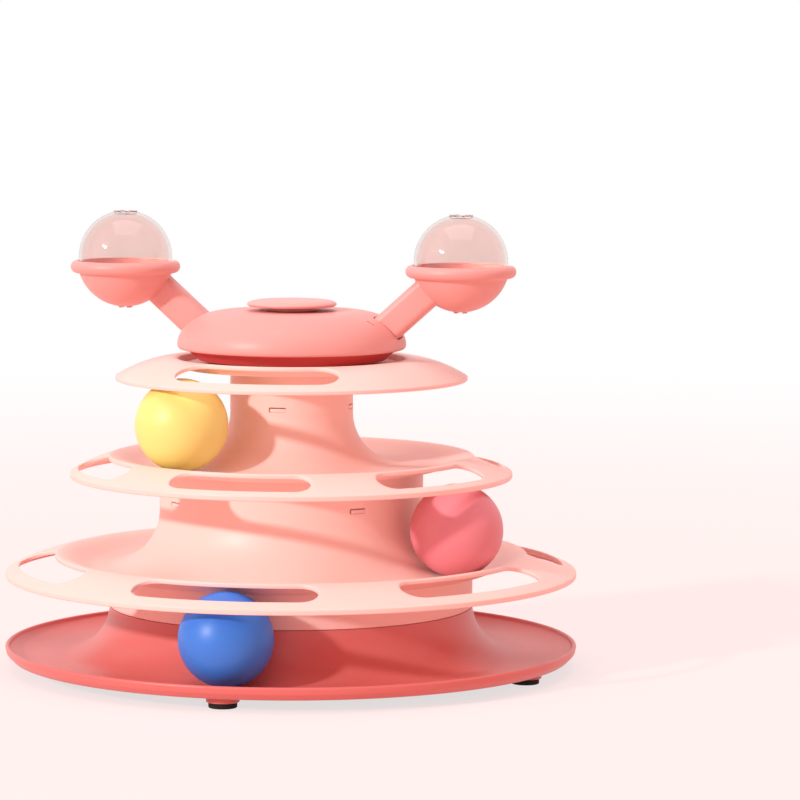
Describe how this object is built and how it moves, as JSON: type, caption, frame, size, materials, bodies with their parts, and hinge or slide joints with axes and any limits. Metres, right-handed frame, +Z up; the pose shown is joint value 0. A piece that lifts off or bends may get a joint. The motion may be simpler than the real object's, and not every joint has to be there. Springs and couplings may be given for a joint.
{
  "type": "cat ball tower",
  "caption": "Round cat toy tower of stacked tracks that each hold a captive rolling ball, under a turning head whose arms carry clear-lidded cups.",
  "frame": {"origin": "on the tower's axis, at the undersides of the rubber feet", "axes": "+Z up along the tower's axis, -Y towards the front, +X to the right seen from the front"},
  "size_m": [0.25, 0.25, 0.1993],
  "materials": {
    "pale_pink_plastic": "satin moulded",
    "coral_plastic": "satin moulded",
    "rose_plastic": "satin moulded",
    "clear_plastic": "clear gloss",
    "black_rubber": "matt",
    "steel": "zinc plated",
    "white_nylon": "satin",
    "blue_plastic": "satin moulded",
    "red_plastic": "satin moulded",
    "yellow_plastic": "satin moulded"
  },
  "bodies": {
    "tower": {"base_tray": "coral_plastic", "rubber_foot_1": "black_rubber", "rubber_foot_2": "black_rubber", "rubber_foot_3": "black_rubber", "rubber_foot_4": "black_rubber", "lower_tier": "pale_pink_plastic", "middle_tier": "pale_pink_plastic", "top_deck": "pale_pink_plastic", "spindle": "steel", "thrust_washer": "white_nylon", "spindle_washer": "steel", "spindle_screw": "steel"},
    "head": {"rotor_base": "coral_plastic", "rotor_shell": "rose_plastic", "hub_bush": "white_nylon", "rotor_screw_1": "steel", "rotor_screw_2": "steel", "arm_left": "rose_plastic", "arm_right": "rose_plastic", "arm_screw_left": "steel", "arm_screw_right": "steel"},
    "dome_left": {"clear_dome_left": "clear_plastic"},
    "dome_right": {"clear_dome_right": "clear_plastic"},
    "cap": {"centre_cap": "rose_plastic"},
    "blue_ball": {"ball_blue": "blue_plastic"},
    "red_ball": {"ball_red": "red_plastic"},
    "yellow_ball": {"ball_yellow": "yellow_plastic"}
  },
  "joints": [
    {"name": "head_spin", "type": "hinge", "parent": "tower", "child": "head", "pos_m": [0, 0, 0.1354], "axis": [0, 0, 1], "continuous": true},
    {"name": "blue_ball_orbit", "type": "hinge", "parent": "tower", "child": "blue_ball", "pos_m": [0, 0, 0.0272], "axis": [0, 0, 1], "continuous": true},
    {"name": "red_ball_orbit", "type": "hinge", "parent": "tower", "child": "red_ball", "pos_m": [0, 0, 0.0658], "axis": [0, 0, 1], "continuous": true},
    {"name": "yellow_ball_orbit", "type": "hinge", "parent": "tower", "child": "yellow_ball", "pos_m": [0, 0, 0.1083], "axis": [0, 0, 1], "continuous": true},
    {"name": "dome_left_lift", "type": "slide", "parent": "head", "child": "dome_left", "axis": [0, 0, 1], "range_m": [0, 0.03]},
    {"name": "dome_right_lift", "type": "slide", "parent": "head", "child": "dome_right", "axis": [0, 0, 1], "range_m": [0, 0.03]},
    {"name": "cap_lift", "type": "slide", "parent": "head", "child": "cap", "axis": [0, 0, 1], "range_m": [0, 0.02]}
  ]
}
